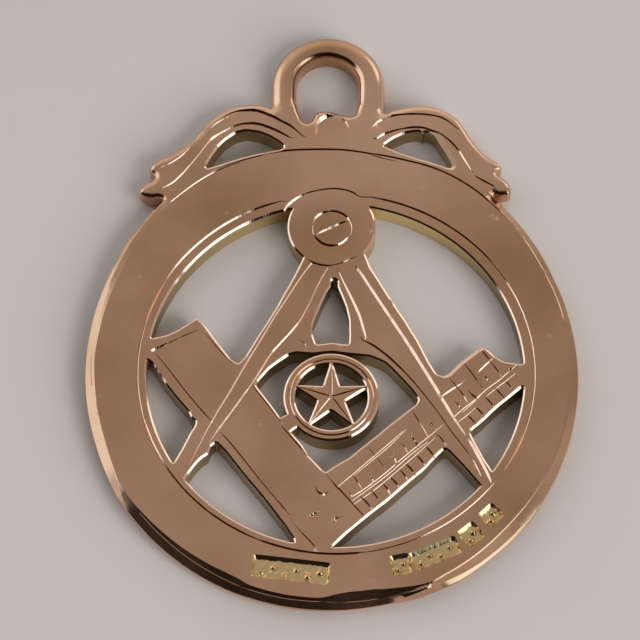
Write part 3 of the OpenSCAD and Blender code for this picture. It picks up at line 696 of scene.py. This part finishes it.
pierced = [t for t, labels in zip(triangles, inside) if is_metal(labels)]
following = rim_of(pierced)
loops = []
while following:
    start = here = next(iter(following))
    loop = []
    while here in following:
        loop.append(Vector(spots[here]))
        here = following.pop(here)
    loops.append(loop)
loops.sort(key=len, reverse=True)


def even(loop, longest=0.16, shortest=0.05):
    """The loop with its long sides divided and its shortest ones joined up."""
    spaced = []
    for here in loop:
        if not spaced or (here - spaced[-1]).length >= shortest:
            spaced.append(here)
    divided = []
    for i, here in enumerate(spaced):
        after = spaced[(i + 1) % len(spaced)]
        pieces = max(1, math.ceil((after - here).length / longest))
        divided += [here.lerp(after, j / pieces) for j in range(pieces)]
    return divided


def edge_profile(point, outward, place):
    """How the edge is filed here, which of its rows are crisp, and its bevel at the back."""
    if place == "outside":
        if point.y > EYE_FOOT_Y and abs(point.x - EYE_AT[0]) < EYE_R + MARGIN:
            return rounded(*EYE_EDGE), (), BACK_BEVEL
        radius, bevel, rows = filed_rim(turn_of(point))
        if abs(point.length - radius) > OFF_THE_RIM:
            return rounded(*RIBBON_EDGE), (), BACK_BEVEL
        crisp, last = [], 0
        for row in FACET_EDGES:
            if rows[row][0] - last > NARROW:
                crisp.append(row)
                last = rows[row][0]
        return rows, crisp, bevel
    if place == "eye hole":
        side = min(1, abs(outward.x) * SIDE_LIP_GAIN) ** SIDE_LIP_POWER
        side *= min(1, max(0, point.y - SIDE_LIP_Y))
        lip = [a + (b - a) * side for a, b in zip(EYE_TOP_LIP, EYE_SIDE_LIP)]
        return rounded(*lip), (), BACK_BURR
    for left, right, under, over, wide, deep in FILED_LIPS:
        if left < point.x < right and under < point.y < over and outward.x < FACES_LEFT:
            return [(0, deep), (wide, 0)], (1,), BACK_BURR
    lit = max(0, outward.x * SLANT - outward.y * SLANT) ** 2
    far = min(1, max(0, outward.y / FAR_FADE))
    rough = noise.noise(Vector((point.x, point.y, 1)) * 1.7)
    ragged = RAGGED_LEAST + RAGGED_MORE * rough
    wide = LIP + (LIT_LIP - LIP) * lit * ragged + (FAR_LIP - LIP) * far
    slope = LIP_SLOPE + (FAR_SLOPE - LIP_SLOPE) * far
    return [(0, wide * slope), (wide, 0)], (1,), BACK_BURR


class Nearby:
    """Finds the pieces of line close to a point of the plan."""

    def __init__(self, size=0.5):
        self.size = size
        self.cells = {}

    def put(self, a, b, reach, item):
        low_x, high_x = min(a.x, b.x) - reach, max(a.x, b.x) + reach
        low_y, high_y = min(a.y, b.y) - reach, max(a.y, b.y) + reach
        for i in range(math.floor(low_x / self.size), math.floor(high_x / self.size) + 1):
            for j in range(math.floor(low_y / self.size), math.floor(high_y / self.size) + 1):
                self.cells.setdefault((i, j), []).append(item)

    def at(self, point):
        cell = math.floor(point.x / self.size), math.floor(point.y / self.size)
        return self.cells.get(cell, [])


def along(point, a, b):
    """How far along the line from a to b the point lies, and how far from it."""
    run = b - a
    t = min(1, max(0, (point - a).dot(run) / max(run.length_squared, 1e-12)))
    return t, (point - a - run * t).length


def drop_at(away, rows_a, rows_b, t):
    """The drop of a profile between two others, this far from the edge."""
    wide_in, deep_in = 0, 0
    for (wide_a, deep_a), (wide_b, deep_b) in zip(rows_a, rows_b):
        wide, deep = wide_a + (wide_b - wide_a) * t, deep_a + (deep_b - deep_a) * t
        if away <= wide:
            if wide == wide_in:
                return deep
            return deep_in + (deep - deep_in) * (away - wide_in) / (wide - wide_in)
        wide_in, deep_in = wide, deep
    return 0


loops = [even(loop) for loop in loops]
edges = Nearby()
rows = []
creased = []
for number, loop in enumerate(loops):
    place = "eye hole" if max(p.y for p in loop) > EYE_AT[1] else "window"
    if number == 0:
        place = "outside"
    count = len(loop)
    outs = []
    for i, here in enumerate(loop):
        way = (loop[(i + 1) % count] - here).normalized() + (here - loop[i - 1]).normalized()
        outs.append(Vector((way.y, -way.x)).normalized())
    filed = [edge_profile(p, out, place) for p, out in zip(loop, outs)]
    eased = []
    for i in range(count):
        close = [filed[(i + j) % count][0] for j in range(-2, 3)]
        eased.append([[sum(shape[row][k] for shape in close) / len(close) for k in (0, 1)]
                      for row in range(len(close[0]))])
    for i, here in enumerate(loop):
        j = (i + 1) % count
        backs = filed[i][2], filed[j][2]
        reach = max(eased[i][-1][0], eased[j][-1][0], *backs)
        edges.put(here, loop[j], reach + MARGIN, (here, loop[j], eased[i], eased[j], backs, place))
        if place == "outside":
            rows.append((here - outs[i] * backs[0], backs[0]))
        for row, (inset, _) in enumerate(eased[i]):
            spot = here - outs[i] * inset
            if row in filed[i][1]:
                if i and row in filed[i - 1][1]:
                    spot_before = loop[i - 1] - outs[i - 1] * eased[i - 1][row][0]
                    creased.append((spot, inset, spot_before))
            elif row:
                rows.append((spot, inset))

# Each stroke becomes the bed of its cut and its two edges
cuts = Nearby()
chains = []
for path, slope in strokes:
    fine = []
    last = len(path) - 1
    for i in range(last):
        before, after = path[max(i - 1, 0)], path[min(i + 2, last)]
        steps = max(1, round((path[i + 1] - path[i]).length / CUT_SPACING))
        for j in range(steps):
            t = j / steps
            spot = between(before, path[i], path[i + 1], after, t)
            spot.z = path[i].z + (path[i + 1].z - path[i].z) * t
            fine.append(spot)
    fine.append(path[last])
    midway = len(fine) // 2
    along_stroke = (fine[midway] - fine[midway - 1]).to_2d()
    facing = 1 if Vector((-along_stroke.y, along_stroke.x)).dot(BROAD_SIDE) > 0 else -1
    middle, left, right, bed = [], [], [], []
    for i, spot in enumerate(fine):
        way = (fine[min(i + 1, len(fine) - 1)] - fine[max(i - 1, 0)]).to_2d().normalized()
        waver = 1 + CUT_WAVER * noise.noise(Vector((spot.x, spot.y, 5)) * 2.2)
        half = spot.z / 2 * waver
        here = spot.to_2d()
        side = Vector((-way.y, way.x)) * half
        middle.append((here, half))
        left.append(here + side)
        right.append(here - side)
        bed.append(here + side * facing * BED)
    for (a, half_a), (b, half_b) in zip(middle, middle[1:]):
        cuts.put(a, b, max(half_a, half_b) + MARGIN, (a, b, half_a, half_b, facing, slope))
    chains += [left, right, bed]


def edge_drop(point):
    """How far the filed edges lie below the face here, how far off the nearest edge is,
    how high its bevel leaves the back, and which edge it is."""
    drop, closest, lifted, nearest = 0, 9, 0, None
    for a, b, rows_a, rows_b, (back_a, back_b), place in edges.at(point):
        t, away = along(point, a, b)
        if away < closest:
            closest, nearest = away, place
        lifted = max(lifted, back_a + (back_b - back_a) * t - away)
        drop = max(drop, drop_at(away, rows_a, rows_b, t))
    return drop, closest, lifted, nearest


def cut_depth(point):
    """How deep the graver went here."""
    deepest = 0
    for a, b, half_a, half_b, facing, slope in cuts.at(point):
        t, away = along(point, a, b)
        half = half_a + (half_b - half_a) * t
        if away < half:
            run, reach = b - a, point - a
            side = away * facing if run.x * reach.y > run.y * reach.x else -away * facing
            bed = half * BED
            if side < bed:
                deepest = max(deepest, (side + half) * slope)
            else:
                deepest = max(deepest, (bed + half) * slope * (half - side) / (half - bed))
    return deepest


# Pricked dots are pointed, and dents are round
dents = [(x, y, r, r * DOT_SLOPE, 1) for x, y, r in DOTS] + [(*ding, 2) for ding in DINGS]


def dent_depth(point):
    """How deep a dot or a dent is here."""
    deepest = 0
    for x, y, r, deep, power in dents:
        away = away_from(point, x, y)
        if away < r:
            deepest = max(deepest, deep * (1 - (away / r) ** power))
    return deepest


# Rows that another edge comes closer to are left out
CREASE_SHARE = 0.93
ROW_SHARE = 0.9
ROW_ROOM = (0.022, 0.05)
ROW_ROOM_SHARE = 0.6
for spot, inset, spot_before in creased:
    if min(edge_drop(spot)[1], edge_drop(spot_before)[1]) > inset * CREASE_SHARE:
        chains.append([spot_before, spot])

# The mouth and the floor of each panel are outlined too
for _, outward, long, tall in panels:
    for inset, top in ((0, 0), (PANEL_WALL, PANEL_TOP_WALL)):
        x, low_y, high_y = long / 2 - inset, inset - tall / 2, tall / 2 - top
        corners = (-x, low_y), (x, low_y), (x, high_y), (-x, high_y)
        ring = filleted(corners, PANEL_CORNER - inset, 0.1)
        chains.append([(outward @ p.to_3d()).to_2d() for p in ring + ring[:1]])
taken = [p for loop in loops for p in loop] + [p for chain in chains for p in chain]


def tree_of(points):
    """A search tree over the points."""
    tree = kdtree.KDTree(len(points))
    for i, p in enumerate(points):
        tree.insert((p.x, p.y, 0), i)
    tree.balance()
    return tree


def clear_of(tree, point, room):
    """Whether no point of the tree is closer than that."""
    return tree.find((point.x, point.y, 0))[2] > room


# Loose points: rows round the edges, small rings for dots and dents, a close
# grid in the panels, and a wide one over the rest of the face
RING_POINTS = ((1, 12), (0.5, 8))
PANEL_GRID = 0.065
PANEL_MARGIN = 0.03
GRID = 0.36
GRID_ROOM = 0.45
tree = tree_of(taken)
loose = []
for point, inset in rows:
    room = max(ROW_ROOM[0], min(ROW_ROOM[1], inset * ROW_ROOM_SHARE))
    if edge_drop(point)[1] > inset * ROW_SHARE and clear_of(tree, point, room):
        loose.append(point)
for x, y, r, _, _ in dents:
    loose.append(Vector((x, y)))
    for share, count in RING_POINTS:
        loose += arc((x, y), r * share, spacing=2 * math.pi * r * share / count)
for _, outward, long, tall in panels:
    for i in range(int(long / PANEL_GRID)):
        for j in range(int(tall / PANEL_GRID)):
            spot = Vector(((i + 0.5 + 0.5 * (j % 2)) * PANEL_GRID - long / 2,
                           (j + 0.5) * PANEL_GRID - tall / 2, 0))
            inside_by = min(long / 2 - abs(spot.x), tall / 2 - abs(spot.y))
            if inside_by > PANEL_WALL + PANEL_MARGIN:
                loose.append((outward @ spot).to_2d())
tree = tree_of(taken + loose)
for i in range(int(-RING_R / GRID), int(RING_R / GRID) + 1):
    for j in range(int(-RING_R / GRID), int((EYE_AT[1] + EYE_R) / GRID) + 1):
        spot = Vector(((i + 0.5 * (j % 2)) * GRID, j * GRID))
        if clear_of(tree, spot, GRID * GRID_ROOM):
            loose.append(spot)
turned = [loops[0]] + [loop[::-1] for loop in loops[1:]]
spots, triangles, inside, drawn = triangulate(turned, chains, loose)
sheet_faces = [t for t, labels in zip(triangles, inside) if list(labels) == [0]]

# The sheet gets its heights, a back, and walls between the two
WALL_LEVELS = 4
used = sorted({i for t in sheet_faces for i in t})
order = {old: new for new, old in enumerate(used)}
count = len(used)
top, bottom = [], []
for i in used:
    p = Vector(spots[i])
    drop, _, lifted, _ = edge_drop(p)
    below = max(drop, cut_depth(p), sunk(p), dent_depth(p))
    wave = WAVE * (1 + noise.noise(p.to_3d() * 0.22))
    top.append((p.x, p.y, FACE_Z - (wave + below)))
    bottom.append((p.x, p.y, lifted))
following = rim_of(sheet_faces)
points = top + bottom
faces = [tuple(order[i] for i in t) for t in sheet_faces]
faces += [tuple(order[i] + count for i in reversed(t)) for t in sheet_faces]
level_of = {}
for old in following:
    here = order[old]
    column = [here + count]
    for level in range(1, WALL_LEVELS):
        share = level / WALL_LEVELS
        column.append(len(points))
        points.append(tuple(Vector(bottom[here]).lerp(Vector(top[here]), share)))
    level_of[old] = column + [here]
for a, b in following.items():
    for level in range(WALL_LEVELS):
        low_a, high_a = level_of[a][level:level + 2]
        low_b, high_b = level_of[b][level:level + 2]
        faces.append((low_a, low_b, high_b, high_a))
mesh = bpy.data.meshes.new("fob")
mesh.from_pydata(points, [], faces)
fob = bpy.data.objects.new("fob", mesh)
bpy.context.collection.objects.link(fob)
for face in mesh.polygons:
    face.use_smooth = True

# Finish of the plate
# The face is polished rose gold with a fine web of scratches and a little tarnish,
# and painted reflections make parts of it lighter or darker. The sawn walls and the punched panels
# show yellower metal, and the walls carry painted shade.
ROUND_CREASE = math.radians(33)
CUT_CREASE = math.radians(7)
mesh.set_sharp_from_angle(angle=ROUND_CREASE)
# Along the cuts and the filed facets, flatter creases are crisp too
normals_at = {}
for face in mesh.polygons:
    for pair in face.edge_keys:
        normals_at.setdefault(pair, []).append(face.normal)
creases = {tuple(sorted((order[a], order[b]))) for a, b in drawn if a in order and b in order}
for edge in mesh.edges:
    pair = tuple(sorted(edge.vertices))
    if pair in creases and normals_at[pair][0].angle(normals_at[pair][-1], 0) > CUT_CREASE:
        edge.use_edge_sharp = True
# The sawn walls are painted lit under the top of the rim, and painted darker elsewhere as shade in
# the narrow openings
LIT_WALL_Y = 10.0
WALL_SHADE_REACH = 5.0
LEAST_CUT = 0.004
LEAST_PUNCH = 0.02
sawn, engraved, punched, wall_shade = [mesh.attributes.new(name, "FLOAT", "FACE").data for name in
                                  ("sawn", "engraved", "punched", "wall_shade")]
first_wall = len(sheet_faces) * 2
for i, face in enumerate(mesh.polygons):
    centre = face.center.to_2d()
    if i >= first_wall:
        if edge_drop(centre)[3] == "window":
            sawn[i].value = 1
            wall_shade[i].value = min(1, abs(centre.y - LIT_WALL_Y) / WALL_SHADE_REACH)
    elif i < len(sheet_faces):
        drop, _, _, place = edge_drop(centre)
        lip = place == "window" and drop > LEAST_CUT
        punched[i].value = 1 if sunk(centre) > LEAST_PUNCH else 0
        engraved[i].value = 1 if lip or cut_depth(centre) > LEAST_CUT else 0
# Painted reflections: where the slightly curved face is painted lighter, and where darker, as the
# room it mirrors would make it
PAINTED_REFLECTIONS = [
    # x, y, reach, lighter or darker
    (1.0, 13.6, 4.0, 0.6), (-5.0, 15.6, 2.6, 0.35), (5.6, 15.4, 2.8, 0.35),
    (-0.3, 8.3, 2.7, -0.6), (-1.2, 19.8, 2.4, -0.5), (2.4, 17.6, 1.3, 0.4),
    (-7.6, 9.9, 3.4, -0.4), (-12.2, 1.5, 4.0, -0.25), (11.0, 5.2, 4.2, -0.5),
    (9.8, -7.6, 3.2, -0.35), (12.2, -1.0, 3.0, -0.2), (-8.0, -9.6, 3.5, 0.2),
    (8.3, 12.6, 1.8, 0.3), (-3.6, -4.4, 3.0, 0.15), (-7.2, 0.2, 2.5, 0.1),
    (-11.0, -5.5, 3.0, 0.15),
]
REFLECTION_SHARE = 0.8
MIDDLING = 0.5
UNEVEN = 0.22
# Each point's tone is a random unevenness, as of tarnish, plus the painted reflections
tone_and_reflection = mesh.attributes.new("tone_and_reflection", "FLOAT", "POINT")
for i, (x, y, _) in enumerate(points):
    share = MIDDLING + UNEVEN * noise.noise(Vector((x, y, 4)) * 0.35)
    for spot_x, spot_y, reach, more in PAINTED_REFLECTIONS:
        away = (x - spot_x) ** 2 + (y - spot_y) ** 2
        share += REFLECTION_SHARE * more * math.exp(-away / reach ** 2)
    tone_and_reflection.data[i].value = share
mesh.transform(Matrix.Scale(MM, 4) @ Matrix.Translation((0, -MID_Y, 0)))


def add(tree, kind, **values):
    """A node, with its inputs set by name and its other settings as given."""
    node = tree.nodes.new(kind)
    for key, value in values.items():
        if key in node.inputs:
            node.inputs[key].default_value = value
        else:
            setattr(node, key, value)
    return node


def shaded(name, **settings):
    """A material, its tree, its shader and the place on the object."""
    material = bpy.data.materials.new(name)
    material.use_nodes = True
    tree = material.node_tree
    tree.nodes.clear()
    shader = add(tree, "ShaderNodeBsdfPrincipled", **settings)
    output = add(tree, "ShaderNodeOutputMaterial")
    tree.links.new(shader.outputs["BSDF"], output.inputs["Surface"])
    return material, tree, shader, add(tree, "ShaderNodeTexCoord").outputs["Object"]


def blended(tree, share, first, second):
    """A mix of two colours, each given as a colour or as another node's output."""
    mix = add(tree, "ShaderNodeMix", data_type="RGBA")
    for place, value in ((0, share), (6, first), (7, second)):
        if isinstance(value, bpy.types.NodeSocket):
            tree.links.new(value, mix.inputs[place])
        else:
            mix.inputs[place].default_value = value
    return mix.outputs[2]


def mottled(tree, place, **settings):
    """Soft noise over a place."""
    texture = add(tree, "ShaderNodeTexNoise", **settings)
    tree.links.new(place, texture.inputs["Vector"])
    return texture.outputs["Fac"]


def ranged(tree, value, low, high, to_low=0, to_high=1, **settings):
    """A value stretched from one range to another."""
    sizes = {"From Min": low, "From Max": high, "To Min": to_low, "To Max": to_high}
    stretch = add(tree, "ShaderNodeMapRange", **sizes, **settings)
    tree.links.new(value, stretch.inputs["Value"])
    return stretch.outputs["Result"]


def marked(tree, name, first, second):
    """The first colour where the mesh's attribute is 0, the second where it is 1."""
    mark = add(tree, "ShaderNodeAttribute", attribute_name=name)
    return blended(tree, mark.outputs["Fac"], first, second)


# The face's gold runs from dark to light with its random tarnish and with the painted reflections
DARK_FACE_GOLD = (0.56, 0.32, 0.175, 1)
LIGHT_FACE_GOLD = (0.86, 0.52, 0.345, 1)
CUT_GOLD = (0.9, 0.6, 0.43, 1)
# The sawn walls' painted light and shade: lit near the top of the rim, shaded elsewhere
LIT_WALL = (0.95, 0.72, 0.36, 1)
SHADED_WALL = (0.42, 0.3, 0.15, 1)
PUNCHED_GOLD = (0.84, 0.61, 0.31, 1)
CUT_ROUGHNESS = (0.07, 0.07, 0.07, 1)
WALL_ROUGHNESS = (0.3, 0.3, 0.3, 1)
FACE_ROUGHNESS = (0.12, 0.26)
CLOUD_SHARE = 0.7
DARK_TO_LIGHT = (0.45, 1.25)
gold, tree, shader, place = shaded("rose_gold", Metallic=1.0)
link = tree.links.new
cloudy = mottled(tree, place, Scale=230.0, Detail=5.0, Roughness=0.6)
tone_mark = add(tree, "ShaderNodeAttribute", attribute_name="tone_and_reflection")
tone_sum = add(tree, "ShaderNodeMath", operation="MULTIPLY_ADD")
tone_sum.inputs[1].default_value = CLOUD_SHARE
link(cloudy, tone_sum.inputs[0])
link(tone_mark.outputs["Fac"], tone_sum.inputs[2])
tone_share = ranged(tree, tone_sum.outputs["Value"], *DARK_TO_LIGHT)
# Sawn walls: painted shade, lighter near the top of the rim and darker elsewhere
wall = marked(tree, "wall_shade", LIT_WALL, SHADED_WALL)
tone = blended(tree, tone_share, DARK_FACE_GOLD, LIGHT_FACE_GOLD)
tone = marked(tree, "engraved", tone, CUT_GOLD)
tone = marked(tree, "sawn", tone, wall)
tone = marked(tree, "punched", tone, PUNCHED_GOLD)
link(tone, shader.inputs["Base Color"])
rough = ranged(tree, cloudy, 0, 1, *FACE_ROUGHNESS)
rough = marked(tree, "engraved", rough, CUT_ROUGHNESS)
rough = marked(tree, "sawn", rough, WALL_ROUGHNESS)
link(rough, shader.inputs["Roughness"])
# Fine scratches left by polishing and wear: their direction and how fine they are
SCRATCHES = ((20, 900), (75, 1300), (140, 1000))
SCRATCH_THIN = 12
relief = None
for turn, scale in SCRATCHES:
    slanted = add(tree, "ShaderNodeMapping", Rotation=(0, 0, math.radians(turn)),
                  Scale=(scale * SCRATCH_THIN, scale, scale))
    link(place, slanted.inputs["Vector"])
    scratch = add(tree, "ShaderNodeBump", Strength=0.10, Distance=0.00002)
    link(mottled(tree, slanted.outputs["Vector"], Scale=1.0, Detail=2.0), scratch.inputs["Height"])
    if relief:
        link(relief, scratch.inputs["Normal"])
    relief = scratch.outputs["Normal"]
link(relief, shader.inputs["Normal"])
mesh.materials.append(gold)
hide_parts("fob_plate")
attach(fob, "root")

# Surface
# The fob lies on its back on a pale, smooth sheet.
bpy.ops.mesh.primitive_plane_add(size=2.0, location=(0, 0, 0))
sheet = bpy.context.object
sheet.name = "surface"
PALE = (0.69, 0.635, 0.58, 1)
PALER = (0.75, 0.67, 0.63, 1)
pale, tree, shader, place = shaded("pale_sheet", Roughness=0.6)
# Soft blotches of painted shade, lighter and darker, stand in for the shading of the sheet's
# gentle ripples
clouds = mottled(tree, place, Scale=60.0, Detail=4.0)
tree.links.new(blended(tree, clouds, PALE, PALER), shader.inputs["Base Color"])
sheet.data.materials.append(pale)

# Light
# A soft window low on the right in front lights it. Pale walls show in the
# polished face, and so does the dark part of the room that lies in front.
DIM_WALL = (0.3, 0.29, 0.28, 1)
PALE_WALL = (0.42, 0.41, 0.4, 1)
world = bpy.data.worlds.new("room")
bpy.context.scene.world = world
world.use_nodes = True
tree = world.node_tree
tree.nodes.clear()
link = tree.links.new
output = add(tree, "ShaderNodeOutputWorld")
sky = add(tree, "ShaderNodeBackground", Strength=1.0)
link(sky.outputs["Background"], output.inputs["Surface"])
way = add(tree, "ShaderNodeTexCoord").outputs["Generated"]
drift = ranged(tree, mottled(tree, way, Scale=2.2, Detail=2.0), 0.3, 0.7)
room = blended(tree, drift, DIM_WALL, PALE_WALL)
PATCHES = [
    # azimuth from +x, elevation, inner and outer half angle in degrees, colour
    (90, 66, 12, 34, (0.4, 0.385, 0.37, 1)),
    (100, 12, 26, 46, (0.75, 0.73, 0.7, 1)),
    (50, 20, 8, 16, (1.3, 1.4, 1.5, 1)),
    (162, 18, 27, 38, (1.15, 1.3, 1.45, 1)),
    (2, 16, 10, 20, (0.45, 0.44, 0.43, 1)),
    (0, 36, 8, 14, (0.85, 0.85, 0.85, 1)),
    (-136, 24, 32, 38, (0.012, 0.01, 0.009, 1)),
    (-86, 32, 38, 43, (0.012, 0.01, 0.009, 1)),
    (-31, 28, 13, 20, (1.6, 2.0, 2.3, 1)),
]
for azimuth, elevation, inner, outer, colour in PATCHES:
    azimuth, elevation, inner, outer = map(math.radians, (azimuth, elevation, inner, outer))
    lean = add(tree, "ShaderNodeVectorMath", operation="DOT_PRODUCT")
    lean.inputs[1].default_value = (math.cos(elevation) * math.cos(azimuth),
                                    math.cos(elevation) * math.sin(azimuth), math.sin(elevation))
    link(way, lean.inputs[0])
    share = ranged(tree, lean.outputs["Value"], math.cos(outer), math.cos(inner),
                   interpolation_type="SMOOTHSTEP")
    room = blended(tree, share, room, colour)
link(room, sky.inputs["Color"])
lamp = bpy.data.lights.new("window", "AREA")
lamp.size = 0.4
lamp.energy = 2.2
lamp.color = (1.0, 0.98, 0.96)
window = bpy.data.objects.new("window", lamp)
window.location = (0.335, -0.365, 0.29)
window.visible_glossy = False
window.rotation_euler = (-window.location).to_track_quat("-Z", "Y").to_euler()
bpy.context.collection.objects.link(window)
bpy.context.scene.view_settings.view_transform = "Standard"

# Camera
# Seen from in front and well above, at the photograph's angle.
CAMERA_TILT = math.radians(25.1)
CAMERA_AWAY = 0.2
PHOTO_PIXELS = 640
FOCAL_PIXELS = 3668
RING_PIXEL = (331.9, 369.9)
ring_centre = Vector((0, -MID_Y * MM, FACE_Z * MM))
back = Vector((0, -math.sin(CAMERA_TILT), math.cos(CAMERA_TILT)))
up = Vector((0, math.cos(CAMERA_TILT), math.sin(CAMERA_TILT)))
per_pixel = CAMERA_AWAY / FOCAL_PIXELS
aim = ring_centre - Vector((1, 0, 0)) * (RING_PIXEL[0] - PHOTO_PIXELS / 2) * per_pixel
aim += up * (RING_PIXEL[1] - PHOTO_PIXELS / 2) * per_pixel
lens = bpy.data.cameras.new("camera")
lens.sensor_width = 36
lens.lens = FOCAL_PIXELS / PHOTO_PIXELS * lens.sensor_width
lens.clip_start = 0.01
camera = bpy.data.objects.new("camera", lens)
camera.location = ring_centre + back * CAMERA_AWAY
camera.rotation_euler = (aim - camera.location).to_track_quat("-Z", "Y").to_euler()
bpy.context.collection.objects.link(camera)
bpy.context.scene.camera = camera
